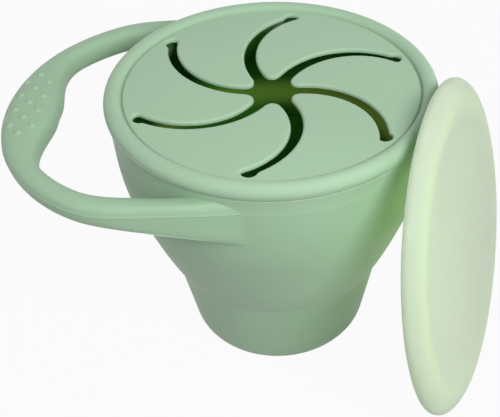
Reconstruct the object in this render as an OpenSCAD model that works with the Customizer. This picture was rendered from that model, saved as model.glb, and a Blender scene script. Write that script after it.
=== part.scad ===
// Collapsible toddler snack cup: a cup with a moulded loop handle, a push-on lid with six
// curved flaps, and a flat cover that is taken off and leans against the rim.
// Origin at the middle of the underside, +Z up, handle towards -X. Millimetres and degrees.

/* [Cup] */
// Height of the cup's rim above the floor
cup_h = 88.2; // [80:0.5:110]
// Outside diameter of the wall just under the lid
rim_d = 93.6; // [88:0.5:110]
// Outside diameter where the upper wall ends and the folding wall starts
fold_top_d = 83.4; // [76:0.5:88]
// Height where the folding wall starts
fold_top_z = 51.5; // [44:0.5:60]
// Outside diameter at the crease between the folding wall and the lower wall
fold_low_d = 66.6; // [60:0.5:72]
// Height of that crease
fold_low_z = 30.6; // [22:0.5:40]
// Outside diameter of the base where its rounded corner starts
base_d = 57.4; // [48:0.5:60]
// Radius of the base's rounded corner
base_round = 7.5; // [4:0.5:12]
// Wall thickness of the cup
wall_t = 2.2; // [1.6:0.1:3]
// Thickness of the folding wall
fold_t = 1.4; // [0.8:0.1:2]
// Thickness of the cup's floor
base_t = 2.6; // [1.6:0.1:5]
// Running gap between the folding wall and the lower wall
fold_gap = 0.3; // [0.1:0.1:0.6]

/* [Rim] */
// How far the rim steps in from the wall, to make room for the lid's lip
rim_step = 1.2; // [0.8:0.1:1.6]
// Thickness of the rim inside the lid's channel
rim_t = 1.8; // [1.2:0.1:2.4]
// Height of the stepped rim
rim_h = 1.9; // [1.4:0.1:3]

/* [Flap lid] */
// How far the lid's bead stands out past the cup's wall
bead_over = 1.2; // [0.8:0.1:2]
// Width of the bead, from its outermost point in to the recessed flat part
bead_w = 5; // [4:0.1:6]
// Thickness of the recessed flat part and its flaps
membrane_t = 1.4; // [1.2:0.1:2.6]
// Height of the flat part's top above the cup's rim
membrane_rise = 1.3; // [1:0.1:2]
// Height of the bead's top above the flat part
bead_rise = 1.5; // [1:0.1:2.5]
// How far the lip and the inner ring reach down past the rim's top
lip_h = 1.6; // [1:0.1:1.8]
// Width of the inner ring that locates the lid inside the rim
plug_t = 1.7; // [1.2:0.1:2.5]
// Side clearance between the rim and the lid's channel
rim_gap = 0.5; // [0.4:0.05:0.8]
// Vertical gap between the rim and the channel's seat
seat_gap = 0.1; // [0.05:0.05:0.3]

/* [Flaps] */
// Distance in from the flat part's edge to the ring of end holes, one at the end of each slit
hole_margin = 4.1; // [3.6:0.1:6]
// Diameter of an end hole
end_hole_d = 4.4; // [3:0.1:5.5]
// Turn of the first end hole from +X
first_slit = 23.6; // [0:0.1:60]
// Radius of a slit's arc, along its middle
slit_r = 23; // [20.5:0.1:28]
// How far a slit's arc would pass from the lid's centre
slit_swirl = 1.1; // [0.5:0.1:4]
// Width of a slit near the centre
slit_in_w = 4.1; // [2:0.1:5]
// Width of a slit near its end hole
slit_out_w = 2.5; // [1:0.1:3.5]
// Diameter of the opening between the flaps' tips
mouth_d = 13; // [8:0.5:20]
// Gap round the rounded root of a flap
root_gap = 0.2; // [0.1:0.05:0.4]
// How far a flap can be pushed down
flap_down = 60; // [20:5:75]
// How far a flap can be pulled up
flap_up = 45; // [20:5:75]

/* [Handle] */
// Reach of the loop's outer edge past the cup's wall
handle_out = 31.6; // [25:0.1:45]
// How far the outer edge of each arm stands out past the wall where the loop is widest
arm_out = 3.6; // [3:0.1:7]
// Radius of the loop's outer edge where its arms turn in to the wall
arm_bend_r = 80; // [60:1:110]
// Width of an arm seen from above
arm_w = 6.7; // [5:0.1:10]
// Height of an arm
arm_h = 7.7; // [6:0.1:10]
// Width of the grip pad seen from above
grip_w = 15.5; // [10:0.1:20]
// Height of the grip pad
grip_h = 9.5; // [8:0.1:13]
// Angle either side of the middle where the grip pad starts to narrow
grip_half_angle = 4; // [2:1:20]
// Angle over which the pad narrows to the arm
grip_fade_angle = 37; // [15:1:50]
// Extra width of an arm on its inner side, at the wall
root_flare = 2.6; // [0:0.1:4]
// Angle from the middle of the loop at which an arm starts to widen
flare_from_angle = 60; // [50:1:80]
// Angle over which it reaches its full width
flare_fade_angle = 26; // [15:1:35]
// Depth of an arm's root below the loop's middle plane, at the wall
root_depth = 12; // [4:0.1:14]
// Angle from the middle of the loop at which an arm's root starts to deepen
root_from_angle = 85; // [70:1:95]
// Angle over which it reaches its full depth
root_fade_angle = 23; // [15:1:35]
// Height of the loop's middle plane below the cup's rim
handle_drop = 8.1; // [6:0.1:14]
// Droop of the loop
handle_droop = 1.5; // [0:0.1:5]
// Seam gap between the handle's root and the wall
root_seam = 0.05; // [0.02:0.01:0.1]

/* [Cover] */
// Depth of the cover's skirt and of its inner ring
cover_depth = 5; // [4:0.1:9]
// Thickness of the cover's panel and skirt
cover_t = 1.2; // [0.8:0.1:2]
// Radius of the cover's rounded shoulder
cover_round = 2.4; // [1.5:0.1:4]
// Side clearance between the cover's skirt and the lid's bead
cover_fit = 0.4; // [0.2:0.05:0.8]
// Side clearance between the cover's inner ring and the bead's inside
ring_fit = 0.5; // [0.3:0.05:1]
// Thickness of the cover's inner ring
ring_t = 1.6; // [1:0.1:2.5]
// Direction in which the cover stands, from +X
cover_azimuth = -18.1; // [-60:0.1:60]
// Lean of the cover from upright
cover_lean = 12.4; // [8:0.1:20]
// Sideways shift of the cover from the cup's middle
cover_side = -5.1; // [-15:0.1:15]
// Gap between the cover and the bead that it leans on
lean_gap = 0.3; // [0.1:0.1:0.5]

/* [Hidden] */
turn_fn = 96;
slack = 1;                                  // how far a cutter runs past what it cuts
far = 200;                                  // larger than the whole object

rim_r = rim_d / 2;
fold_top_r = fold_top_d / 2;
fold_low_r = fold_low_d / 2;
base_r = base_d / 2;
lid_r = rim_r + bead_over;
membrane_r = lid_r - bead_w;
hole_r = end_hole_d / 2;
mouth_r = mouth_d / 2;

// heights of the lid
membrane_z = cup_h + membrane_rise;         // top of the flat part
hinge_z = membrane_z - membrane_t / 2;
bead_top = membrane_z + bead_rise;

// the rim and the channel that goes over it
step_z = cup_h - rim_h;
rim_out = rim_r - rim_step;
rim_in = rim_out - rim_t;
lip_z = cup_h - lip_h;
channel_out = rim_out + rim_gap;
channel_in = rim_in - rim_gap;

// round bead: through the flat part's edge and out to the lid's radius
bead_r = bead_w + bead_rise - sqrt(2 * bead_w * bead_rise);
bead_x = lid_r - bead_r;
bead_z = bead_top - bead_r;

// the upper wall swells from the fold to the rim by a cubic
wall_power = 3;
wall_steps = 12;
function wall_x(z) = let (t = (z - fold_top_z) / (step_z - fold_top_z))
    fold_top_r + (rim_r - fold_top_r) * (1 - pow(1 - t, wall_power));
function wall_z(k) = fold_top_z + (step_z - fold_top_z) * k / wall_steps;

// quarter-turn of a rounded corner, from straight down to straight out
corner_step = 15;
function corner(x, z, r) = [for (a = [-90 : corner_step : 0]) [x + r * cos(a), z + r * sin(a)]];

function backwards(list) = [for (k = [len(list) - 1 : -1 : 0]) list[k]];

// ---- the cup ----

module lower_cup() {
    inner_round = base_round - wall_t;
    color([0.54, 0.65, 0.53]) rotate_extrude($fn = turn_fn) polygon(concat(
        [[0, 0]],
        corner(base_r - base_round, base_round, base_round),
        [[fold_low_r, fold_low_z], [fold_low_r - wall_t, fold_low_z]],
        backwards(corner(base_r - base_round, base_t + inner_round, inner_round)),
        [[0, base_t]]));
}

module fold_wall() {
    color([0.52, 0.63, 0.51]) rotate_extrude($fn = turn_fn) polygon([
        [fold_x(fold_low_z + fold_gap), fold_low_z + fold_gap], [fold_top_r, fold_top_z],
        [fold_top_r - fold_t, fold_top_z],
        [fold_x(fold_low_z + fold_gap) - fold_t, fold_low_z + fold_gap]]);
}
function fold_x(z) = fold_low_r
    + (fold_top_r - fold_low_r) * (z - fold_low_z) / (fold_top_z - fold_low_z);

module upper_cup() {
    rise = [for (k = [0 : wall_steps]) wall_z(k)];
    color([0.61, 0.71, 0.6]) rotate_extrude($fn = turn_fn) polygon(concat(
        [for (z = rise) [wall_x(z), z]],
        [[rim_out, step_z], [rim_out, cup_h], [rim_in, cup_h], [rim_in, step_z - wall_t]],
        [for (k = [wall_steps - 1 : -1 : 0]) [wall_x(rise[k]) - wall_t, rise[k]]]));
}

// ---- the handle ----

loop_r = rim_r + arm_out;
loop_x = rim_r + handle_out - loop_r;       // centre of the loop's round end, towards -X
arc_step = 7.5;
arm_step = 4;
arm_turn = asin(loop_x / arm_bend_r);       // the arms run in until they are beside the axis
droop_from = rim_r * 0.65;

function smooth(t) = let (c = min(1, max(0, t))) c * c * (3 - 2 * c);

// stations along the loop: [outer edge x, y, outward x, outward y, turn from the middle]
function station(x, y, out) = [x, y, out[0], out[1], atan2(out[1], -out[0])];
function arm_station(b, side) = station(-loop_x + arm_bend_r * sin(b),
    side * (loop_r - arm_bend_r + arm_bend_r * cos(b)), [sin(b), side * cos(b)]);
function arc_station(a) = station(-loop_x - loop_r * cos(a), loop_r * sin(a), [-cos(a), sin(a)]);
stations = concat(
    [for (b = [arm_turn : -arm_step : arm_step / 2]) arm_station(b, -1)],
    [for (a = [-90 : arc_step : 90]) arc_station(a)],
    [for (k = [floor((arm_turn - arm_step / 2) / arm_step) : -1 : 0])
        arm_station(arm_turn - k * arm_step, 1)]);

function grip_share(turn) = 1 - smooth((abs(turn) - grip_half_angle) / grip_fade_angle);
function root_share(turn) = smooth((abs(turn) - root_from_angle) / root_fade_angle);
function loop_w(turn) = arm_w + (grip_w - arm_w) * grip_share(turn)
    + root_flare * smooth((abs(turn) - flare_from_angle) / flare_fade_angle);
function loop_h(turn) = arm_h + (grip_h - arm_h) * grip_share(turn);
function loop_low(turn) = loop_h(turn) / 2
    + (root_depth - loop_h(turn) / 2) * root_share(turn);
function loop_z(x) = cup_h - handle_drop - tan(handle_droop) * (-x - droop_from);

// cross-section: a rounded form, fuller than an ellipse, with its own depth below the middle
section_n = 16;
fullness = 0.9;
function full(v) = sign(v) * pow(abs(v), fullness);
function section(s) = [for (k = [0 : section_n - 1]) let (
    a = 360 * k / section_n,
    w = loop_w(s[4]) / 2,
    across = -w + w * full(cos(a)),
    up = full(sin(a)) * (sin(a) > 0 ? loop_h(s[4]) / 2 : loop_low(s[4])))
    [s[0] + across * s[2], s[1] + across * s[3], loop_z(s[0]) + up]];

module loop_body() {
    n = len(stations);
    points = [for (s = stations) each section(s)];
    sides = [for (i = [0 : n - 2], k = [0 : section_n - 1]) let (k2 = (k + 1) % section_n)
        each [[i * section_n + k, i * section_n + k2, (i + 1) * section_n + k2],
              [i * section_n + k, (i + 1) * section_n + k2, (i + 1) * section_n + k]]];
    first = [for (k = [section_n - 1 : -1 : 0]) k];
    last = [for (k = [0 : section_n - 1]) (n - 1) * section_n + k];
    polyhedron(points, concat(sides, [first, last]), convexity = 6);
}

// solid that fills the cup out to just past its wall
module wall_plug() {
    rotate_extrude($fn = turn_fn) polygon(concat(
        [[0, fold_top_z]],
        [for (k = [0 : wall_steps]) [wall_x(wall_z(k)) + root_seam, wall_z(k)]],
        [[rim_r + root_seam, cup_h + far], [0, cup_h + far]]));
}

module handle() {
    color([0.63, 0.76, 0.62]) difference() {
        loop_body();
        wall_plug();
    }
}

// ---- the flap lid ----

flaps = 6;
sector = 360 / flaps;
hole_ring_r = membrane_r - hole_margin;
chord_x = hole_ring_r * cos(sector / 2);    // distance of a flap's root from the centre
chord_len = 2 * hole_ring_r * sin(sector / 2);

// centre of the arc of a slit whose end hole lies on +X, below the axis
slit_cx = (hole_ring_r * hole_ring_r + 2 * slit_r * slit_swirl + slit_swirl * slit_swirl)
    / (2 * hole_ring_r);
slit_cy = -sqrt(pow(slit_r + slit_swirl, 2) - slit_cx * slit_cx);
slit_end_a = atan2(-slit_cy, hole_ring_r - slit_cx);
slit_start_a = atan2(-slit_cy, -slit_cx);
slit_mid_a = (slit_end_a + slit_start_a) / 2;
slit_mid_w = (slit_in_w + slit_out_w) / 2;
slit_shift = (slit_in_w - slit_out_w) / 4 / sin((slit_start_a - slit_end_a) / 2);

// edge of a slit: side +1 is its outer edge, -1 its inner edge
function edge_centre(side) = [slit_cx - side * slit_shift * sin(slit_mid_a),
                              slit_cy + side * slit_shift * cos(slit_mid_a)];
function edge_r(side) = slit_r + side * slit_mid_w / 2;
module slit_disc(side) {
    translate(edge_centre(side)) circle(r = edge_r(side), $fn = turn_fn);
}

// where the slit's outer edge crosses the flap's root, along the root from the end hole
root_start = let (
    ux = -sin(sector / 2), uy = cos(sector / 2),
    dx = hole_ring_r - edge_centre(1)[0], dy = -edge_centre(1)[1],
    b = dx * ux + dy * uy, c = dx * dx + dy * dy - edge_r(1) * edge_r(1))
    c < 0 ? -b + sqrt(b * b - c) : 0;
barrel_from = max(root_start, hole_r) + root_gap;
barrel_to = chord_len - hole_r - root_gap;

// triangle between two end holes and the centre
module sector_shape() {
    polygon([[0, 0], [hole_ring_r, 0], [hole_ring_r * cos(sector), hole_ring_r * sin(sector)]]);
}

// outline of the flap whose first slit ends on +X
module flap_shape() {
    difference() {
        union() {
            difference() {
                sector_shape();
                slit_disc(1);
            }
            rotate(sector) intersection() {
                sector_shape();
                slit_disc(-1);
            }
        }
        circle(r = mouth_r, $fn = turn_fn);
        for (k = [0, 1]) rotate(k * sector) translate([hole_ring_r, 0])
            circle(r = hole_r, $fn = 48);
    }
}

// puts +X along the flap's root and +Y towards the centre, at the hinge's height
module at_root(k) {
    rotate(first_slit + k * sector) translate([hole_ring_r, 0, hinge_z])
        rotate(90 + sector / 2) children();
}

module barrel(r, from, to) {
    translate([from, 0, 0]) rotate([0, 90, 0]) cylinder(r = r, h = to - from, $fn = 48);
}

module petal(k) {
    color([0.62, 0.74, 0.63]) {
        rotate(first_slit + k * sector) translate([0, 0, membrane_z - membrane_t])
            linear_extrude(membrane_t) flap_shape();
        at_root(k) barrel(membrane_t / 2, barrel_from, barrel_to);
    }
}

// space that a flap's root sweeps between its two limits
module root_sweep(k) {
    reach = membrane_t + slack;
    half = membrane_t / 2 + root_gap;
    at_root(k) {
        barrel(half, 0, chord_len);
        for (turn = [flap_up, -flap_down]) rotate([turn, 0, 0])
            translate([0, 0, -half]) cube([chord_len, reach, 2 * half]);
    }
}

module flap_lid() {
    color([0.7, 0.82, 0.7]) difference() {
        rotate_extrude($fn = turn_fn) difference() {
            union() {
                translate([0, membrane_z - membrane_t]) square([membrane_r, membrane_t]);
                translate([channel_in - plug_t, lip_z])
                    square([bead_x - channel_in + plug_t, membrane_z - lip_z]);
                intersection() {
                    translate([bead_x, bead_z]) circle(r = bead_r, $fn = turn_fn);
                    translate([channel_in - plug_t, lip_z]) square([far, far]);
                }
            }
            translate([channel_in, lip_z - slack])
                square([channel_out - channel_in, slack + lip_h + seat_gap]);
        }
        translate([0, 0, membrane_z - membrane_t - slack]) rotate(first_slit)
            cylinder(r = hole_ring_r, h = membrane_t + 2 * slack, $fn = flaps);
        for (k = [0 : flaps - 1]) {
            root_sweep(k);
            rotate(first_slit + k * sector)
                translate([hole_ring_r, 0, membrane_z - membrane_t - slack])
                    cylinder(r = hole_r, h = membrane_t + 2 * slack, $fn = 48);
        }
    }
}

// ---- the cover ----

cover_r = lid_r + cover_fit + cover_t;
ring_r = membrane_r - ring_fit;

// the cover lies face up on its own: panel's top at z = 0, skirt downwards
module cover_flat() {
    rotate_extrude($fn = turn_fn) difference() {
        union() {
            translate([0, -cover_depth]) square([cover_r - cover_round, cover_depth]);
            translate([0, -cover_depth]) square([cover_r, cover_depth - cover_round]);
            translate([cover_r - cover_round, -cover_round]) circle(r = cover_round, $fn = 48);
        }
        translate([0, -cover_depth - slack])
            square([ring_r - ring_t, cover_depth - cover_t + slack]);
        translate([ring_r, -cover_depth - slack])
            square([cover_r - cover_t - ring_r, cover_depth - cover_t + slack]);
    }
}

// the cover stands on its edge on the floor and leans in to the lid or the wall
cover_up = 90 - cover_lean;                 // turn of the cover's face from level
// the skirt's edge stands on the floor
cover_z = cover_r * cos(cover_lean) + cover_depth * sin(cover_lean);

// outside radius of the cup and its lid at height z
function profile(z) = z > bead_top ? 0 : z < lip_z ? wall_x(min(z, step_z))
    : bead_x + sqrt(max(0, bead_r * bead_r - pow(z - bead_z, 2)));
// distance from the cup's axis to the cover's middle at which a point of the cover, which lies
// up and across on its face and deep behind it, clears the cup
function stand_off(up, across, deep) = let (
    z = cover_z + up * cos(cover_lean) - deep * sin(cover_lean),
    y = cover_side + across)
    up * sin(cover_lean) + deep * cos(cover_lean)
        + sqrt(max(0, pow(profile(z) + lean_gap, 2) - y * y));
lean_step = 0.5;
cover_x = max([for (up = [0 : lean_step : ring_r]) each concat(
    [for (side = [-1, 1]) stand_off(up, side * sqrt(ring_r * ring_r - up * up), cover_depth)],
    up < ring_r - ring_t ? [stand_off(up, -cover_side, cover_t)] : [])]);

module cover() {
    color([0.78, 0.88, 0.75, 0.9]) rotate(cover_azimuth)
        translate([cover_x, cover_side, cover_z]) rotate([0, cover_up, 0]) cover_flat();
}

lower_cup();
fold_wall();
upper_cup();
handle();
flap_lid();
petal(0);  // petal_1
petal(1);  // petal_2
petal(2);  // petal_3
petal(3);  // petal_4
petal(4);  // petal_5
petal(5);  // petal_6
cover();
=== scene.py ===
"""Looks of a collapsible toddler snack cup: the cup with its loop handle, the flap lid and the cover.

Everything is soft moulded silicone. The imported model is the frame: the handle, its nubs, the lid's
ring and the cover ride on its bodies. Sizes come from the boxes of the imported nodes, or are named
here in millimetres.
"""
import math
import bmesh
import bpy
from mathutils import Matrix, Vector
from mathutils.geometry import delaunay_2d_cdt


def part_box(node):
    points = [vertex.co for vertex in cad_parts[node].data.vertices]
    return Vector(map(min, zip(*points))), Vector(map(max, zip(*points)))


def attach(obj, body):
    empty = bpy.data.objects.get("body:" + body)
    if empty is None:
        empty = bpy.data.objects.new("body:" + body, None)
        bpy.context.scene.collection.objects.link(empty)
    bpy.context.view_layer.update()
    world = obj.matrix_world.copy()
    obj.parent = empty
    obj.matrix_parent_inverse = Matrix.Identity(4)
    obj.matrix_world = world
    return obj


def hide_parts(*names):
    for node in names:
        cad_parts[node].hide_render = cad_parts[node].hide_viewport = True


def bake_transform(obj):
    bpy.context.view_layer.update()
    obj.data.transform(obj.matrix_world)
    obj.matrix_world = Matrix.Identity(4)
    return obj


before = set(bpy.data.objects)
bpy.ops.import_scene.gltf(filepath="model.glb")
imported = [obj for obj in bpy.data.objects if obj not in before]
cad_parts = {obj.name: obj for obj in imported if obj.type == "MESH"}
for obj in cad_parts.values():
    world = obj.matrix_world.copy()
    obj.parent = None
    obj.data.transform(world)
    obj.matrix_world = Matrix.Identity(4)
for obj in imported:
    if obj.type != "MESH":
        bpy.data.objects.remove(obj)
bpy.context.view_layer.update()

MM = 0.001


def node_box(name):
    """Lowest and highest corner of a node, in millimetres."""
    low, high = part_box(name)
    return low / MM, high / MM


# ---- sizes, from the frame ----
LOWER_HIGH = node_box("lower_cup")[1]
UPPER_HIGH = node_box("upper_cup")[1]
LID_LOW, LID_HIGH = node_box("flap_lid")
PETAL_LOW, PETAL_HIGH = node_box("petal_1")
HANDLE_LOW, HANDLE_HIGH = node_box("handle")

CREASE_R, CREASE_Z = LOWER_HIGH.x, LOWER_HIGH.z     # where the lower wall meets the fold
FOLD_TOP_Z = node_box("fold_wall")[1].z             # where the fold meets the upper wall
RIM_R, CUP_H = UPPER_HIGH.x, UPPER_HIGH.z
LID_R, LIP_Z, BEAD_TOP = LID_HIGH.x, LID_LOW.z, LID_HIGH.z
PLATE_Z, PLATE_LOW_Z = PETAL_HIGH.z, PETAL_LOW.z    # top and underside of the flat part
LOOP_R = HANDLE_HIGH.y                              # outer radius of the loop's round end
LOOP_X = -HANDLE_LOW.x - LOOP_R                     # how far its centre lies from the axis

# ---- sizes of the cup, mm and degrees ----
FOOT_ROUND = 7.5            # radius of the base's rounded corner
FOOT_R = 21.2               # where that corner starts
FOOT_LEAN = 11.0            # slope of the lower wall from upright
FOOT_DISH = 0.6             # how far the middle of the underside is raised
WALL_T, FOLD_T, FLOOR_T = 2.2, 1.4, 2.6             # thicknesses
INSIDE_SHADE_DEPTH = 9.0           # depth below the rim at which the painted shade inside the cup is full
RIM_STEP, RIM_T, RIM_H = 1.2, 1.8, 1.9              # the rim's step in, thickness and height
PARTING_Z, PARTING_W, PARTING_H = 81.1, 0.6, 0.06   # fine ridge where the mould parts, round the wall
LEAN_OUT = 0.45             # how far the wall leans out from there to the rim's step

# ---- sizes of the lid, mm and degrees ----
BEAD_W = 5.0                # from the bead's outermost point in to the flat part
BEAD_END = -36.0            # where the bead's round ends, on its way down to the lip
LIP_W = 1.3                 # width of the lip's lower end
RING_IN = 41.6              # inside of the ring that locates the lid in the rim
CHANNEL_IN, CHANNEL_OUT, CHANNEL_Z = 43.3, 46.1, 88.3       # the channel that takes the cup's rim
SEAM_IN = 0.6               # from the flat part's edge in to the flaps' outer edge
FLAPS = 6
SECTOR = 360 / FLAPS
FIRST_SLIT = 23.6           # turn of the first end hole from +X
HOLE_RING_R, HOLE_R = 38.9, 2.2         # circle of the end holes, and their own radius
SLIT_R, SLIT_SWIRL = 23.0, 1.1          # a slit's bend, and by how much it misses the axis
SLIT_IN_W, SLIT_OUT_W = 4.1, 2.5        # its width at the mouth and at its end hole
MOUTH_R = 6.5               # opening between the flaps' tips
TIP_ROUND = 2.2             # length of a flap's edges that its rounded tip takes
HOLE_CORNER = 0.9           # and that the corner at an end hole takes
EDGE_ROUND = 0.8            # fillet along a flap's top edge
EDGE_ROUND_LOW = 0.25       # fillet along its lower edge
TIP_SAG, SAG_POWER = 1.3, 1.6           # how far the tips sink, and how sharply towards the tip
HOLE_PATH_STEP, SLIT_PATH_STEP = 0.3, 0.8   # spacing of points round an end hole and along a slit
NET_STEP, NET_ROW, NET_GAP = 1.7, 0.866, 0.8    # net on a flap: spacing, rows in steps, gap to its edge

# ---- sizes of the handle, mm and degrees ----
ARM_BEND_R = 80.0                       # slight bend of the two arms
ARM_W, ARM_H = 6.7, 7.7
GRIP_W, GRIP_H = 15.5, 9.5
GRIP_HALF_ANGLE, GRIP_FADE_ANGLE = 4.0, 37.0    # turn to which the grip is full, and fades over
HANDLE_DROP, HANDLE_DROOP = 8.1, 1.5    # depth of the middle plane below the rim, and its slope
FLARE, FLARE_FROM_ANGLE, FLARE_FADE_ANGLE = 2.6, 60.0, 26.0     # extra width beside the cup
FACE_IN, FACE_FROM_ANGLE, FACE_FADE_ANGLE = 2.9, 63.0, 28.0     # flat outer face of the root
FACE_OUT, FACE_OUT_ANGLE, FACE_OUT_FADE = 2.7, 88.0, 22.0       # where it comes out to the edge
RIDGE_RISE, RIDGE_H = 1.0, 0.22         # parting ridge: place above the middle plane, height
RIDGE_FALL, RIDGE_FALL_ANGLE, RIDGE_FALL_FADE = 0.5, 94.0, 14.0     # where it comes down again
ROOT_SWELL, SWELL_ANGLE, SWELL_FADE = 0.6, 70.0, 14.0   # the root deepens by a swell,
ROOT_GAIN, GAIN_ANGLE = 0.0098, 79.0                    # and then with the turn squared
MERGE, SUNK = 0.22, 0.05                # how softly the root runs into the wall, and ends in it
FULLNESS = 0.8                          # power of the section's curve: 1 is round, 0 square
ARM_STEPS, BEND_STEPS, SECTION_STEPS = 48, 90, 24   # of an arm, the round end, half a section
NUB_R, NUB_H = 1.3, 0.7                 # low domes on the grip
NUB_ROWS = ((-1, 4), (0, 5), (1, 4))    # place of each row from the middle one, and its domes
NUB_PITCH, NUB_ROW_PITCH, NUB_MIDDLE = 7.3, 3.4, 7.5    # the middle row's inset from the end
NUB_STEPS, NUB_TURNS, NUB_SUNK = 5, 20, 0.08

# ---- sizes of the cover, mm and degrees ----
COVER_AZIMUTH, COVER_LEAN = -18.1, 12.4         # which way it stands, and its lean from upright
COVER_DEPTH, COVER_T = 5.0, 1.2
COVER_ROUND_IN, COVER_ROUND_DOWN = 9.0, 4.0     # reach of the soft shoulder, inwards and down
COVER_RING_R, COVER_RING_T = 42.5, 1.6          # ring inside it that seats on the lid

# ---- colours, the painted shade inside the cup and under the lid, and the painted glow of the thin fold inside the cup ----
CUP_COLOURS = (0.324, 0.486, 0.328), (0.308, 0.468, 0.313)      # plain, and clouded
LID_COLOURS = (0.334, 0.495, 0.339), (0.318, 0.477, 0.324)
COVER_COLOURS = (0.525, 0.835, 0.415), (0.511, 0.820, 0.400)
# painted shade: deep greens inside the cup and under the lid, darker than the silicone's own colour
CUP_INSIDE_SHADE, LID_UNDERSIDE_SHADE = (0.04, 0.235, 0.02), (0.03, 0.12, 0.02)
# painted glow: emission on the inside of the thin fold that stands in for light coming through the wall
PAINTED_GLOW, PAINTED_GLOW_COLOUR = 0.070, (0.62, 1.00, 0.14)
PAINTED_GLOW_RISE, PAINTED_GLOW_FALL = (53.0, 58.5), (65.0, 59.5)   # heights between which the painted glow grows and fades, mm

# ---- surface of the silicone ----
SPECULAR, SHEEN, SHEEN_ROUGH = 0.35, 0.08, 0.5
CUP_ROUGH, LID_ROUGH, COVER_ROUGH = 0.50, 0.37, 0.50
ROUGH_SPREAD = 0.06                     # how uneven the gloss is
CLOUDS, GLOSS, SKIN = (28.0, 3.0), (90.0, 4.0), (2600.0, 2.0)       # noises: scale and detail
SKIN_STRENGTH, SKIN_DEPTH = 0.12, 0.05  # share and mm
LIGHT_SPREAD = (1.0, 1.2, 0.8)          # how far red, green and blue light spread in the cover,
LIGHT_REACH = 12.0                      # in steps of this many mm

TURNS = 256                             # steps round a turned piece


# ---- small geometry helpers ----

def smooth(t):
    """A soft step from 0 to 1."""
    c = min(1.0, max(0.0, t))
    return c * c * (3 - 2 * c)


def polar(r, angle, centre=(0.0, 0.0)):
    """The point at a radius and an angle in degrees round a centre."""
    a = math.radians(angle)
    return (centre[0] + r * math.cos(a), centre[1] + r * math.sin(a))


def arc(centre, r, start, end, count):
    """Points of an arc, from angle start to angle end, both included."""
    return [polar(r, start + (end - start) * k / count, centre) for k in range(count + 1)]


def spline(points, count):
    """Catmull-Rom curve through the points, with count steps in each stretch."""
    ends = [points[0]] + list(points) + [points[-1]]
    out = []
    for k in range(1, len(ends) - 2):
        a, b, c, d = (Vector(p) for p in ends[k - 1:k + 3])
        for j in range(count):
            t = j / count
            out.append(tuple(0.5 * ((2 * b) + (c - a) * t + (2 * a - 5 * b + 4 * c - d) * t * t
                                    + (3 * b - a - 3 * c + d) * t ** 3)))
    return out + [tuple(points[-1])]


def mesh_object(name, points, faces, material, sharp=40.0):
    """A shaded object from points in millimetres."""
    mesh = bpy.data.meshes.new(name)
    mesh.from_pydata([Vector(p) * MM for p in points], [], faces)
    work = bmesh.new()
    work.from_mesh(mesh)
    bmesh.ops.recalc_face_normals(work, faces=work.faces)
    work.to_mesh(mesh)
    work.free()
    mesh.shade_smooth()
    mesh.set_sharp_from_angle(angle=math.radians(sharp))
    mesh.materials.append(material)
    made = bpy.data.objects.new(name, mesh)
    bpy.context.scene.collection.objects.link(made)
    return made


def lathe(name, profile, material):
    """A piece turned from a profile of (r, z), which runs from axis to axis or round a ring."""
    on_axis = profile[0][0] < 1e-6
    rows, points, faces = [], [], []
    for r, z in profile:
        count = 1 if r < 1e-6 else TURNS
        rows.append(range(len(points), len(points) + count))
        points += [(*polar(r, 360 * k / TURNS), z) for k in range(count)]
    pairs = list(zip(rows, rows[1:] if on_axis else rows[1:] + rows[:1]))
    for low, high in pairs:
        for k in range(TURNS):
            n = (k + 1) % TURNS
            corners = [low[k % len(low)], low[n % len(low)], high[n % len(high)],
                       high[k % len(high)]]
            face = [c for i, c in enumerate(corners) if c not in corners[:i]]
            if len(face) > 2:
                faces.append(face)
    return mesh_object(name, points, faces, material)


# ---- materials ----

def add_node(tree, kind, inputs=None, **settings):
    """A new shader node with its settings and the values of its inputs."""
    made = tree.nodes.new(kind)
    for name, value in settings.items():
        setattr(made, name, value)
    for name, value in (inputs or {}).items():
        made.inputs[name].default_value = value
    return made


def math_result(tree, operation, first, second):
    """Result of a math node whose second value is a socket or a number."""
    made = add_node(tree, "ShaderNodeMath", operation=operation)
    tree.links.new(first, made.inputs[0])
    if isinstance(second, float):
        made.inputs[1].default_value = second
    else:
        tree.links.new(second, made.inputs[1])
    return made.outputs[0]


def noise(tree, kind):
    """Noise of a scale and a detail over the object's own coordinates."""
    scale, detail = kind
    place = add_node(tree, "ShaderNodeTexCoord")
    made = add_node(tree, "ShaderNodeTexNoise", {"Scale": scale, "Detail": detail})
    tree.links.new(place.outputs["Object"], made.inputs["Vector"])
    return made.outputs["Fac"]


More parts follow.
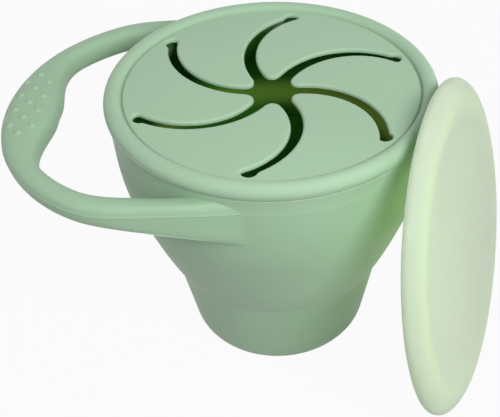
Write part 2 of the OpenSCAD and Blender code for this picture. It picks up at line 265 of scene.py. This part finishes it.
def silicone(name, colours, rough, translucent=0.0, inner=None):
    """Matt moulded silicone: faint clouding of the colour, uneven gloss and a fine skin."""
    material = bpy.data.materials.new(name)
    material.use_nodes = True
    tree = material.node_tree
    shader = tree.nodes["Principled BSDF"]
    shader.inputs["Specular IOR Level"].default_value = SPECULAR
    shader.inputs["Sheen Weight"].default_value = SHEEN
    shader.inputs["Sheen Roughness"].default_value = SHEEN_ROUGH

    plain, clouded = colours
    tint = add_node(tree, "ShaderNodeMix", {"A": (*plain, 1), "B": (*clouded, 1)}, data_type="RGBA")
    tree.links.new(noise(tree, CLOUDS), tint.inputs["Factor"])
    colour = tint.outputs["Result"]
    # inner: painted shade inside the cup or under the lid, which also brings the painted glow
    if inner:
        colour = paint_inside_shade_and_glow(tree, colour, inner)
    tree.links.new(colour, shader.inputs["Base Color"])

    gloss = add_node(tree, "ShaderNodeMapRange",
                     {"To Min": rough - ROUGH_SPREAD, "To Max": rough + ROUGH_SPREAD})
    tree.links.new(noise(tree, GLOSS), gloss.inputs["Value"])
    tree.links.new(gloss.outputs["Result"], shader.inputs["Roughness"])

    skin = add_node(tree, "ShaderNodeBump", {"Strength": SKIN_STRENGTH, "Distance": SKIN_DEPTH * MM})
    tree.links.new(noise(tree, SKIN), skin.inputs["Height"])
    tree.links.new(skin.outputs["Normal"], shader.inputs["Normal"])

    if translucent:
        shader.inputs["Subsurface Weight"].default_value = translucent
        shader.inputs["Subsurface Radius"].default_value = LIGHT_SPREAD
        shader.inputs["Subsurface Scale"].default_value = LIGHT_REACH * MM
    return material


def paint_inside_shade_and_glow(tree, skin, colour):
    """Painted shade inside, a deeper colour that grows with depth, and a painted glow on the thin
    folding band that stands in for light coming through it.
    """
    shader = tree.nodes["Principled BSDF"]
    # share of the painted shade, from the points' attribute: more with depth inside
    share = add_node(tree, "ShaderNodeAttribute", attribute_name="inside").outputs["Fac"]
    mix = add_node(tree, "ShaderNodeMix", {"B": (*colour, 1)}, data_type="RGBA")
    tree.links.new(share, mix.inputs["Factor"])
    tree.links.new(skin, mix.inputs["A"])

    # painted glow: a band over height on the inside, where the fold is thin
    place = add_node(tree, "ShaderNodeTexCoord")
    split = add_node(tree, "ShaderNodeSeparateXYZ")
    tree.links.new(place.outputs["Object"], split.inputs["Vector"])
    for start, end in PAINTED_GLOW_RISE, PAINTED_GLOW_FALL:
        band = add_node(tree, "ShaderNodeMapRange", interpolation_type="SMOOTHSTEP")
        band.inputs["From Min"].default_value = start * MM
        band.inputs["From Max"].default_value = end * MM
        tree.links.new(split.outputs["Z"], band.inputs["Value"])
        share = math_result(tree, "MULTIPLY", share, band.outputs["Result"])
    strength = math_result(tree, "MULTIPLY", share, PAINTED_GLOW)
    tree.links.new(strength, shader.inputs["Emission Strength"])
    shader.inputs["Emission Color"].default_value = (*PAINTED_GLOW_COLOUR, 1)
    return mix.outputs["Result"]


# the inner colours are painted shade inside the cup and under the lid; the cup's inside also carries
# the painted glow
CUP_SKIN = silicone("cup_silicone", CUP_COLOURS, CUP_ROUGH, inner=CUP_INSIDE_SHADE)
LID_SKIN = silicone("lid_silicone", LID_COLOURS, LID_ROUGH, inner=LID_UNDERSIDE_SHADE)
COVER_SKIN = silicone("cover_silicone", COVER_COLOURS, COVER_ROUGH, translucent=1.0)


# ---- the cup ----

def mark_inside_shade(piece, first, top, deep):
    """Marks how deep below the top each point from the first one on lies, for the painted shade inside.
    """
    flag = piece.data.attributes.new("inside", "FLOAT", "POINT")
    flag.data.foreach_set("value", [
        smooth((top - point.co.z / MM) / deep) if k >= first else 0.0
        for k, point in enumerate(piece.data.vertices)])


# outline (r, z) of the wall, from just above the crease to the parting ridge
WALL_LINE = spline([(CREASE_R + 1.35, CREASE_Z + 2.5), (36.4, 37.0), (38.1, 41.2), (39.7, 45.5),
                    (41.75, 51.5), (43.25, 56.0), (44.75, 61.0), (45.8, 66.5), (46.45, 72.5),
                    (46.7, 78.0), (RIM_R, PARTING_Z - PARTING_W)], 6)


def wall_radius(z):
    """Outside radius of the wall at a height."""
    if z >= WALL_LINE[-1][1]:
        return WALL_LINE[-1][0]
    (r1, z1), (r2, z2) = next(pair for pair in zip(WALL_LINE, WALL_LINE[1:]) if pair[1][1] >= z)
    return r1 + (r2 - r1) * (z - z1) / (z2 - z1)


def make_cup():
    """Floor, lower wall, fold and upper wall in one skin."""
    under = [(0, FOOT_DISH), (FOOT_R - 3.2, FOOT_DISH), (FOOT_R - 2.4, 0.4), (FOOT_R - 1.8, 0)]
    foot = arc((FOOT_R, FOOT_ROUND), FOOT_ROUND, -90, -FOOT_LEAN, 12)
    wall = [(31.9, CREASE_Z - 6.5), (CREASE_R - 0.35, CREASE_Z - 1.4),
            (CREASE_R + 0.08, CREASE_Z), (CREASE_R + 0.55, CREASE_Z + 1.0)] + WALL_LINE
    ridge = [(RIM_R + PARTING_H, PARTING_Z - PARTING_W / 6),
             (RIM_R + PARTING_H, PARTING_Z + PARTING_W / 6),
             (RIM_R - 0.02, PARTING_Z + PARTING_W)]
    step_z = CUP_H - RIM_H
    rim_out = RIM_R - RIM_STEP
    rim = [(RIM_R + LEAN_OUT, step_z - 0.2), (RIM_R + LEAN_OUT - 0.2, step_z),
           (rim_out, step_z), (rim_out, CUP_H), (rim_out - RIM_T, CUP_H),
           (rim_out - RIM_T, step_z - 1.5)]
    inner_round = FOOT_ROUND - WALL_T
    inner = [(r - (FOLD_T if CREASE_Z < z < FOLD_TOP_Z else WALL_T), z)
             for r, z in reversed(foot[-1:] + wall[:-1])]
    inner += reversed(arc((FOOT_R, FLOOR_T + inner_round), inner_round, -90, -20, 8))
    outer = under + foot + wall + ridge + rim
    cup = lathe("cup", outer + inner + [(0, FLOOR_T)], CUP_SKIN)
    # inner points get the painted shade, fuller with depth below the rim
    mark_inside_shade(cup, 1 + TURNS * (len(outer) - 1), CUP_H, INSIDE_SHADE_DEPTH)
    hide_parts("lower_cup", "fold_wall", "upper_cup")
    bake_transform(cup)


# ---- the handle ----

def loop_stations():
    """Stations along the loop: outer edge x, y, outward x, y, and turn from the middle."""
    last = math.degrees(math.asin(LOOP_X / ARM_BEND_R))
    arms = {}
    for side in (-1, 1):
        arms[side] = []
        for k in range(1, ARM_STEPS + 1):
            b = last * k / ARM_STEPS
            away = polar(1, 90 - b)
            arms[side].append((-LOOP_X + ARM_BEND_R * away[0],
                               side * (LOOP_R - ARM_BEND_R + ARM_BEND_R * away[1]),
                               away[0], side * away[1], side * (90 + b)))
    round_end = []
    for k in range(BEND_STEPS + 1):
        a = -90 + 180 / BEND_STEPS * k
        away = polar(1, 180 - a)
        round_end.append((-LOOP_X + LOOP_R * away[0], LOOP_R * away[1], *away, a))
    return arms[-1][::-1] + round_end + arms[1]


def full(value, power=FULLNESS):
    """A sine or cosine, filled out towards a square."""
    return math.copysign(abs(value) ** power, value)


def grip_share(turn):
    """How much of the grip's form a turn has, from 1 in the middle to 0 on the arms."""
    return 1 - smooth((abs(turn) - GRIP_HALF_ANGLE) / GRIP_FADE_ANGLE)


def loop_height(x):
    """Height of the loop's middle plane."""
    droop = math.tan(math.radians(HANDLE_DROOP)) * (-x - RIM_R * 0.65)
    return CUP_H - HANDLE_DROP - droop


def loop_size(turn):
    """Width and height of the loop at a turn."""
    grip = grip_share(turn)
    flare = FLARE * smooth((abs(turn) - FLARE_FROM_ANGLE) / FLARE_FADE_ANGLE)
    return ARM_W + (GRIP_W - ARM_W) * grip + flare, ARM_H + (GRIP_H - ARM_H) * grip


def root_form(turn):
    """Rise of the parting ridge, inset of the outer face, extra depth and share of the flat form."""
    t = abs(turn)
    share = smooth((t - FACE_FROM_ANGLE) / FACE_FADE_ANGLE)
    inset = FACE_IN * share - FACE_OUT * max(0.0, (t - FACE_OUT_ANGLE) / FACE_OUT_FADE) ** 2
    swell = ROOT_SWELL * smooth((t - SWELL_ANGLE) / SWELL_FADE)
    deeper = swell + ROOT_GAIN * max(0.0, t - GAIN_ANGLE) ** 2
    fall = RIDGE_FALL * smooth((t - RIDGE_FALL_ANGLE) / RIDGE_FALL_FADE)
    rise = RIDGE_RISE * (1 - grip_share(turn)) - fall
    return rise, max(0.0, inset), deeper, share


def loop_section(turn):
    """Section of the loop at a turn: (across from the outer edge, up from the middle plane)."""
    width, height = loop_size(turn)
    rise, inset, deeper, share = root_form(turn)
    half, top, low = width / 2, height / 2, height / 2 + deeper

    def point(c, s, power):
        outer = smooth((c + 0.3) / 0.9)
        base = rise * outer
        reach = half - inset * outer
        up = top - base if s > 0 else low + base
        return -half + reach * full(c, power), base + up * full(s, power)

    steps = SECTION_STEPS
    over = [point(math.cos(a), math.sin(a), FULLNESS)
            for a in (math.pi * (1 - k / steps) for k in range(steps))]
    ridge = RIDGE_H * (1 - grip_share(turn))
    line = [(-inset + ridge * out, rise + up) for out, up in
            ((0.6, 0.06 * (top - rise)), (1.0, 0), (0.7, -0.12), (0, -0.25), (0, -0.6))]
    under = [point(math.cos(a), -math.sin(a), FULLNESS - 0.50 * share * smooth(3 * math.cos(a)))
             for a in (math.pi * k / steps for k in range(1, steps))]
    return over + line + under


def merged(x, y, z):
    """A point of the handle, moved out where it would cross the cup's wall, to run softly into it."""
    far = math.hypot(x, y)
    wall = wall_radius(z)
    past = (far - wall) / MERGE
    if past > 12:
        return x, y, z
    near = wall + MERGE * math.log1p(math.exp(past)) - SUNK
    return x * near / far, y * near / far, z


def make_handle():
    """The loop with its grip, and its two roots, which run softly into the cup's wall."""
    stations = loop_stations()
    points, faces = [], []
    size = len(loop_section(0))
    for x, y, away_x, away_y, turn in stations:
        for across, up in loop_section(turn):
            points.append(merged(x + across * away_x, y + across * away_y, loop_height(x) + up))
    for i in range(len(stations) - 1):
        for k in range(size):
            n = (k + 1) % size
            faces.append((i * size + k, i * size + n, (i + 1) * size + n, (i + 1) * size + k))
    faces.append(tuple(range(size)))
    faces.append(tuple(range((len(stations) - 1) * size, len(stations) * size)))
    handle = mesh_object("loop_handle", points, faces, CUP_SKIN)
    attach(handle, "upper")
    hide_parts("handle")


def grip_top(x, y):
    """Height of the grip's top surface at a place seen from above."""
    turn = math.degrees(math.atan2(y, -(x + LOOP_X)))
    width, height = loop_size(turn)
    across = math.hypot(x + LOOP_X, y) - LOOP_R
    c = abs(1 + 2 * across / width) ** (1 / FULLNESS)
    s = math.sqrt(max(0.0, 1 - c * c))
    outer_x = -LOOP_X - LOOP_R * math.cos(math.radians(turn))
    return loop_height(outer_x) + height / 2 * full(s)


def add_nub(points, faces, x, y):
    """One low dome on the grip's top, with its flat underside just below the skin."""
    first = len(points)
    points.append((x, y, grip_top(x, y) + NUB_H))
    for j in range(1, NUB_STEPS + 1):
        share = j / NUB_STEPS
        for k in range(NUB_TURNS):
            px, py = polar(NUB_R * share, 360 * k / NUB_TURNS, (x, y))
            rise = NUB_H * (1 - share * share) - (NUB_SUNK if j == NUB_STEPS else 0)
            points.append((px, py, grip_top(px, py) + rise))
    for k in range(NUB_TURNS):
        n = (k + 1) % NUB_TURNS
        faces.append((first, first + 1 + k, first + 1 + n))
        for j in range(NUB_STEPS - 1):
            a = first + 1 + j * NUB_TURNS
            faces.append((a + k, a + NUB_TURNS + k, a + NUB_TURNS + n, a + n))
    faces.append(tuple(first + 1 + (NUB_STEPS - 1) * NUB_TURNS + k for k in range(NUB_TURNS)))


def make_nubs():
    """Thirteen low domes in three staggered rows on the grip."""
    points, faces = [], []
    for row, count in NUB_ROWS:
        for place in range(count):
            x = HANDLE_LOW.x + NUB_MIDDLE + row * NUB_ROW_PITCH
            y = (place - (count - 1) / 2) * NUB_PITCH
            add_nub(points, faces, x, y)
    nubs = mesh_object("grip_nubs", points, faces, CUP_SKIN)
    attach(nubs, "upper")


# ---- the lid ----

def make_lid_ring():
    """Bead, lip and inner ring, in to just inside the flat part's edge."""
    rise = BEAD_TOP - PLATE_Z
    bead_r = BEAD_W + rise - math.sqrt(2 * BEAD_W * rise)
    centre = (LID_R - bead_r, BEAD_TOP - bead_r)
    edge = LID_R - BEAD_W
    meet = math.degrees(math.acos((edge + 0.25 - centre[0]) / bead_r))      # where the crease ends
    crease = [(edge - SEAM_IN, PLATE_Z), (edge - 0.52, PLATE_Z - 0.06), (edge - 0.32, PLATE_Z - 0.40),
              (edge - 0.05, PLATE_Z - 0.58), (edge + 0.16, PLATE_Z - 0.28)]
    outer = crease + arc(centre, bead_r, meet, BEAD_END, 30)
    outer += [(CHANNEL_OUT + LIP_W, LIP_Z), (CHANNEL_OUT, LIP_Z), (CHANNEL_OUT, CHANNEL_Z),
              (CHANNEL_IN, CHANNEL_Z), (CHANNEL_IN, LIP_Z)]
    inner = [(RING_IN, LIP_Z), (RING_IN, PLATE_LOW_Z), (edge - SEAM_IN, PLATE_LOW_Z)]
    ring = lathe("lid_ring", outer + inner, LID_SKIN)
    # the ring's inside and underside get the painted shade
    mark_inside_shade(ring, TURNS * len(outer), PLATE_Z, PLATE_Z - PLATE_LOW_Z)
    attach(ring, "lid")
    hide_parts("flap_lid")


def crossing(c1, r1, c2, r2, near):
    """The crossing of two circles that lies nearer to a point."""
    a, b = Vector(c1), Vector(c2)
    d = (b - a).length
    along = (r1 * r1 - r2 * r2 + d * d) / (2 * d)
    off = math.sqrt(max(0.0, r1 * r1 - along * along))
    u = (b - a) / d
    both = [a + u * along + Vector((-u.y, u.x)) * s * off for s in (-1, 1)]
    return min(both, key=lambda p: (p - Vector(near)).length)


def angle_of(point, centre):
    """Angle in degrees at which a point is seen from a centre."""
    return math.degrees(math.atan2(point[1] - centre[1], point[0] - centre[0]))


def turn_between(start, end, clockwise):
    """End angle, shifted by whole turns, so that start to end runs the asked way."""
    way = (start - end) % 360 if clockwise else (end - start) % 360
    return start - way if clockwise else start + way


def circle_path(centre, r, start, end, clockwise, step):
    """Points along a circle from one point on it to another, about step apart."""
    a = angle_of(start, centre)
    b = turn_between(a, angle_of(end, centre), clockwise)
    return arc(centre, r, a, b, max(2, round(abs(math.radians(b - a)) * r / step)))


def cut_back(path, length):
    """The path without its first stretch of that length."""
    left = length
    for k in range(len(path) - 1):
        a, b = Vector(path[k]), Vector(path[k + 1])
        step = (b - a).length
        if step > left:
            return [tuple(a + (b - a) * (left / step))] + list(path[k + 1:])
        left -= step
    return list(path[-2:])


def round_corner(before, after, size, count=6):
    """Joins two paths that meet in a corner by a curve that starts and ends size away from it."""
    corner = Vector(after[0])
    before = cut_back(before[::-1], size)[::-1]
    after = cut_back(after, size)
    a, b = Vector(before[-1]), Vector(after[0])
    bend = [tuple(a * (1 - t) ** 2 + corner * 2 * t * (1 - t) + b * t * t)
            for t in (k / count for k in range(1, count))]
    return before + bend + after


def round_tip(before, after, count=14):
    """Joins the two edges of a flap by a round tip whose middle lies on the mouth's circle."""
    before = cut_back(before[::-1], TIP_ROUND)[::-1]
    after = cut_back(after, TIP_ROUND)
    a, d = Vector(before[-1]), Vector(after[0])
    way_a = (a - Vector(before[-2])).normalized()
    way_d = (d - Vector(after[1])).normalized()
    inwards = -(a + d).normalized()
    reach = ((a + d) / 2).length - MOUTH_R
    pull = reach / (0.375 * (way_a + way_d).dot(inwards))
    b, c = a + way_a * pull, d + way_d * pull
    bend = [tuple(a * (1 - t) ** 3 + b * 3 * t * (1 - t) ** 2 + c * 3 * t * t * (1 - t) + d * t ** 3)
            for t in (k / count for k in range(1, count))]
    return before + bend + after


def slit_edges():
    """Centres and radii of the two edges of a slit whose end hole lies on +X."""
    cx = (HOLE_RING_R ** 2 + 2 * SLIT_R * SLIT_SWIRL + SLIT_SWIRL ** 2) / (2 * HOLE_RING_R)
    cy = -math.sqrt((SLIT_R + SLIT_SWIRL) ** 2 - cx * cx)
    end = math.degrees(math.atan2(-cy, HOLE_RING_R - cx))
    start = math.degrees(math.atan2(-cy, -cx))
    middle = (start + end) / 2
    shift = (SLIT_IN_W - SLIT_OUT_W) / 4 / math.sin(math.radians((start - end) / 2))
    half = (SLIT_IN_W + SLIT_OUT_W) / 4
    away = polar(1, middle + 90)
    return {side: ((cx + side * shift * away[0], cy + side * shift * away[1]), SLIT_R + side * half)
            for side in (1, -1)}


def turned(point, angle):
    """A point turned round the axis by an angle in degrees."""
    a = math.radians(angle)
    return (point[0] * math.cos(a) - point[1] * math.sin(a),
            point[0] * math.sin(a) + point[1] * math.cos(a))


def flap_outline():
    """Outline of the flap whose first end hole lies on +X, as (fixed outer edge, free edge)."""
    edge = LID_R - BEAD_W - SEAM_IN
    near_slit, far_slit = slit_edges()[1], slit_edges()[-1]
    far_slit = (turned(far_slit[0], SECTOR), far_slit[1])
    hole_a, hole_b = (HOLE_RING_R, 0.0), polar(HOLE_RING_R, SECTOR)
    outer_a, outer_b = (HOLE_RING_R + HOLE_R, 0.0), polar(HOLE_RING_R + HOLE_R, SECTOR)
    p1 = crossing(hole_a, HOLE_R, *near_slit, near=(HOLE_RING_R - HOLE_R, 1))
    p2 = crossing((0, 0), MOUTH_R, *near_slit, near=polar(MOUTH_R, 20))
    p3 = crossing((0, 0), MOUTH_R, *far_slit, near=polar(MOUTH_R, SECTOR))
    p4 = crossing(hole_b, HOLE_R, *far_slit, near=polar(HOLE_RING_R - HOLE_R, SECTOR - 3))
    fixed = arc((0, 0), edge, 0, SECTOR, 60)
    around_b = circle_path(hole_b, HOLE_R, outer_b, p4, clockwise=True, step=HOLE_PATH_STEP)
    along_b = circle_path(*far_slit, p4, p3, clockwise=False, step=SLIT_PATH_STEP)
    along_a = circle_path(*near_slit, p2, p1, clockwise=True, step=SLIT_PATH_STEP)
    around_a = circle_path(hole_a, HOLE_R, p1, outer_a, clockwise=True, step=HOLE_PATH_STEP)
    free = round_corner(around_b, along_b, HOLE_CORNER)
    free = round_tip(free, along_a)
    free = round_corner(free, around_a, HOLE_CORNER)
    return fixed, free


def path_normals(path):
    """Unit normals to the left of a path."""
    out = []
    for k in range(len(path)):
        a, b = Vector(path[max(0, k - 1)]), Vector(path[min(len(path) - 1, k + 1)])
        d = (b - a).normalized()
        out.append(Vector((-d.y, d.x)))
    return out


def lies_inside(point, loop):
    """Whether a point lies in a closed loop."""
    x, y = point
    hit = False
    for (x1, y1), (x2, y2) in zip(loop, loop[1:] + loop[:1]):
        if (y1 > y) != (y2 > y) and x < (x2 - x1) * (y - y1) / (y2 - y1) + x1:
            hit = not hit
    return hit


def flap_rings():
    """Steps over the free edge, from the top inwards to the underside: (inset, z below top)."""
    thick = PLATE_Z - PLATE_LOW_Z
    top = [(EDGE_ROUND * (1 - math.sin(a)), EDGE_ROUND * (1 - math.cos(a)))
           for a in (math.radians(90 * k / 6) for k in range(7))]
    low = [(EDGE_ROUND_LOW * (1 - math.cos(a)), thick - EDGE_ROUND_LOW * (1 - math.sin(a)))
           for a in (math.radians(90 * k / 4) for k in range(5))]
    return [(EDGE_ROUND + 0.25, 0)] + top + low + [(EDGE_ROUND_LOW + 0.3, thick)]


def net_inside(loop):
    """Points of an even net that lie in a loop, clear of its edge."""
    low, high = ([pick(p[i] for p in loop) for i in (0, 1)] for pick in (min, max))
    across = range(math.floor(low[0] / NET_STEP) - 1, math.ceil(high[0] / NET_STEP))
    along = range(math.floor(low[1] / NET_STEP / NET_ROW), math.ceil(high[1] / NET_STEP / NET_ROW))
    net = [(i * NET_STEP + (j % 2) * NET_STEP / 2, j * NET_STEP * NET_ROW)
           for i in across for j in along]
    return [g for g in net if lies_inside(g, loop)
            and min((g[0] - p[0]) ** 2 + (g[1] - p[1]) ** 2 for p in loop) > NET_GAP * NET_GAP]


def fill_face(points, faces, ring):
    """Fills a flat face inside a ring of points with triangles over an even net."""
    loop = [points[k][:2] for k in ring]
    z = points[ring[0]][2]
    size = len(ring)
    flat, _, tris, origin, _, _ = delaunay_2d_cdt(
        [Vector(p) for p in loop + net_inside(loop)], [(k, (k + 1) % size) for k in range(size)],
        [], 0, 1e-5, True)
    ids = []
    for p, source in zip(flat, origin):
        old = [s for s in source if s < size]
        if old:
            ids.append(ring[old[0]])
        else:
            ids.append(len(points))
            points.append((p.x, p.y, z))
    for tri in tris:
        corners = tuple(ids[c] for c in tri)
        middle = sum((flat[c] for c in tri), Vector((0, 0))) / 3
        if lies_inside(middle, loop) and len(set(corners)) == 3:
            faces.append(corners)


def flap_skin():
    """Points and faces of the flap whose first end hole lies on +X, before it sags."""
    fixed, free = flap_outline()
    normals = path_normals(free)
    normals[0] = Vector(polar(1, SECTOR))
    normals[-1] = Vector(polar(1, 0))
    points, faces, rings = [], [], []
    for inset, drop in flap_rings():
        flat = [Vector(p) for p in fixed] + [Vector(p) + n * inset for p, n in zip(free, normals)]
        rings.append(range(len(points), len(points) + len(flat)))
        points += [(p.x, p.y, PLATE_Z - drop) for p in flat]
    size = len(rings[0])
    for a, b in zip(rings, rings[1:]):
        for k in range(size):
            n = (k + 1) % size
            faces.append((a[k], a[n], b[n], b[k]))
    for ring in (rings[0], rings[-1]):
        fill_face(points, faces, ring)
    return points, faces


def make_flaps():
    """The six flaps, each turned round the axis into its place and sagging towards its tip."""
    points, faces = flap_skin()
    root = HOLE_RING_R * math.cos(math.radians(SECTOR / 2))
    across = polar(1, SECTOR / 2)
    for index in range(FLAPS):
        turn = FIRST_SLIT + index * SECTOR
        sunk = []
        for x, y, z in points:
            share = max(0.0, 1 - (x * across[0] + y * across[1]) / root)
            sunk.append((*turned((x, y), turn), z - TIP_SAG * share ** SAG_POWER))
        flap = mesh_object(f"flap_{index + 1}", sunk, faces, LID_SKIN, sharp=60)
        body = f"petal_{index + 1}"
        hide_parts(body)
        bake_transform(flap)


# ---- the cover ----

def cover_place():
    """Where the cover stands: its own frame, with the panel's top at z = 0 and the face outwards."""
    turn = (Matrix.Rotation(math.radians(COVER_AZIMUTH), 3, "Z")
            @ Matrix.Rotation(math.radians(90 - COVER_LEAN), 3, "Y"))
    back = turn.inverted()
    seen = [back @ v.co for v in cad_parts["cover"].data.vertices]
    middle = [(min(v[i] for v in seen) + max(v[i] for v in seen)) / 2 for i in (0, 1)]
    radius = (max(v[0] for v in seen) - min(v[0] for v in seen)) / 2
    top = max(v[2] for v in seen)
    return turn.to_4x4() @ Matrix.Translation((*middle, top)), radius / MM


def make_cover():
    """A shallow disc with a soft shoulder, and the ring inside that seats on the lid's bead."""
    place, radius = cover_place()
    start = radius - COVER_ROUND_IN

    def shoulder(inset, angles):
        return [(start + (COVER_ROUND_IN - inset) * math.sin(math.radians(a)),
                 (COVER_ROUND_DOWN - inset) * math.cos(math.radians(a)) - COVER_ROUND_DOWN)
                for a in angles]

    profile = [(0, 0), (start * 0.6, 0)] + shoulder(0, range(0, 91, 5))
    profile += [(radius, -COVER_DEPTH + 0.5), (radius - 0.15, -COVER_DEPTH + 0.15),
                (radius - 0.5, -COVER_DEPTH), (radius - COVER_T + 0.2, -COVER_DEPTH),
                (radius - COVER_T, -COVER_DEPTH + 0.2)]
    profile += shoulder(COVER_T, range(85, 40, -5))
    ring_in = COVER_RING_R - COVER_RING_T
    profile += [(COVER_RING_R, -COVER_T - 0.6), (COVER_RING_R, -COVER_DEPTH + 0.5),
                (COVER_RING_R - 0.3, -COVER_DEPTH), (ring_in + 0.3, -COVER_DEPTH),
                (ring_in, -COVER_DEPTH + 0.4), (ring_in, -COVER_T - 0.4),
                (ring_in - 0.5, -COVER_T), (0, -COVER_T)]
    cover = lathe("cover_disc", profile, COVER_SKIN)
    cover.data.transform(place)
    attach(cover, "cover")
    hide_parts("cover")


# ---- stage, camera and light ----

CAMERA_AT = Vector((14.96, -231.40, 245.55)) * MM
CAMERA_TO = Vector((14.10, 49.10, 0.0)) * MM    # point on the floor that the lens axis meets
CAMERA_ROLL = 0.27                              # degrees
FOCAL_WIDTHS = 964.8 / 500                      # focal length in picture widths
AXIS_RIGHT = 71.3 / 500                         # lens axis right of the picture's middle
SENSOR_W = 36                                   # mm

FLOOR_GREY, FLOOR_WHITE = 0.30, 0.95            # its colour, and how white it is seen
FLOOR_HALF, FLOOR_DROP = 3.0, 0.02              # half its side in metres, gap below the base in mm
WORLD_STRENGTH = 0.42

# lamps: turn and height in degrees, distance and size in metres, power in watts
LAMPS = {"key": (-60.0, 46.0, 0.50, 0.20, 1.72),
         "fill_right": (-5.0, 30.0, 0.50, 0.25, 0.30),
         "fill_left": (200.0, 25.0, 0.50, 0.25, 0.22)}
LAMPS_AIM = (0, 0, 0.05)                        # the point they look at, in metres
THROUGH_SIZE, THROUGH_POWER = 0.075, 0.007      # light that comes through the translucent cover
THROUGH_COLOUR = (0.86, 1.00, 0.50)
THROUGH_FROM, THROUGH_TO = 1, 20                # its place and aim behind the cover, mm


def looking(at, to):
    """Placement of a camera or lamp at a point, turned to look at another."""
    return Matrix.Translation(at) @ (to - at).to_track_quat("-Z", "Y").to_matrix().to_4x4()


def make_camera():
    """The camera, with its lens shifted as the picture's framing needs."""
    data = bpy.data.cameras.new("camera")
    data.sensor_width = SENSOR_W
    data.sensor_fit = "HORIZONTAL"
    data.lens = FOCAL_WIDTHS * SENSOR_W
    data.shift_x = -AXIS_RIGHT
    data.clip_start, data.clip_end = 0.01, 20
    camera = bpy.data.objects.new("camera", data)
    roll = Matrix.Rotation(math.radians(CAMERA_ROLL), 4, "Z")
    camera.matrix_world = looking(CAMERA_AT, CAMERA_TO) @ roll
    bpy.context.scene.collection.objects.link(camera)
    bpy.context.scene.camera = camera


def seen_white(material_or_world, share):
    """Mixes the surface with plain white where the camera, a reflection or glass looks at it."""
    tree = material_or_world.node_tree
    out = next(n for n in tree.nodes if n.type in ("OUTPUT_MATERIAL", "OUTPUT_WORLD"))
    lit = out.inputs["Surface"].links[0].from_socket
    kind = "ShaderNodeEmission" if out.type == "OUTPUT_MATERIAL" else "ShaderNodeBackground"
    white = add_node(tree, kind, {"Color": (1, 1, 1, 1), "Strength": 1.0})
    path = add_node(tree, "ShaderNodeLightPath")
    seen = path.outputs["Is Camera Ray"]
    for name in ("Is Glossy Ray", "Is Transmission Ray"):
        seen = math_result(tree, "MAXIMUM", seen, path.outputs[name])
    mix = add_node(tree, "ShaderNodeMixShader")
    tree.links.new(math_result(tree, "MULTIPLY", seen, share), mix.inputs["Fac"])
    tree.links.new(lit, mix.inputs[1])
    tree.links.new(white.outputs[0], mix.inputs[2])
    tree.links.new(mix.outputs[0], out.inputs["Surface"])


def make_floor():
    """A wide floor just below the base, seen nearly white with a trace of the object's shadow."""
    material = bpy.data.materials.new("floor_white")
    material.use_nodes = True
    shader = material.node_tree.nodes["Principled BSDF"]
    shader.inputs["Base Color"].default_value = (FLOOR_GREY, FLOOR_GREY, FLOOR_GREY, 1)
    shader.inputs["Roughness"].default_value = 0.9
    shader.inputs["Specular IOR Level"].default_value = 0.1
    seen_white(material, FLOOR_WHITE)
    half = FLOOR_HALF
    mesh = bpy.data.meshes.new("floor")
    mesh.from_pydata([(-half, -half, 0), (half, -half, 0), (half, half, 0), (-half, half, 0)],
                     [], [(0, 1, 2, 3)])
    mesh.materials.append(material)
    floor = bpy.data.objects.new("floor", mesh)
    bpy.context.scene.collection.objects.link(floor)
    floor.location.z = -FLOOR_DROP * MM


def area_light(name, at, to, size, power, colour=(1, 1, 1)):
    """A round lamp that the camera and reflections don't see."""
    data = bpy.data.lights.new(name, "AREA")
    data.shape = "DISK"
    data.size = size
    data.energy = power
    data.color = colour
    light = bpy.data.objects.new(name, data)
    light.matrix_world = looking(Vector(at), Vector(to))
    light.visible_camera = False
    light.visible_glossy = False
    bpy.context.scene.collection.objects.link(light)


def make_light():
    """The world, the three lamps and the light behind the cover."""
    world = bpy.data.worlds.new("world")
    world.use_nodes = True
    bpy.context.scene.world = world
    sky = world.node_tree.nodes["Background"]
    sky.inputs["Color"].default_value = (1, 1, 1, 1)
    sky.inputs["Strength"].default_value = WORLD_STRENGTH
    seen_white(world, 1.0)
    for name, (turn, height, far, size, power) in LAMPS.items():
        out = Vector((*polar(math.cos(math.radians(height)), turn), math.sin(math.radians(height))))
        area_light(name, out * far, LAMPS_AIM, size, power)
    place = cover_place()[0]
    behind = [place @ (Vector((0, 0, -COVER_DEPTH - far)) * MM) for far in (THROUGH_FROM, THROUGH_TO)]
    area_light("through_cover", *behind, THROUGH_SIZE, THROUGH_POWER, THROUGH_COLOUR)
    bpy.context.scene.view_settings.view_transform = "Standard"


make_camera()
make_cup()
make_handle()
make_nubs()
make_lid_ring()
make_flaps()
make_cover()
make_floor()
make_light()
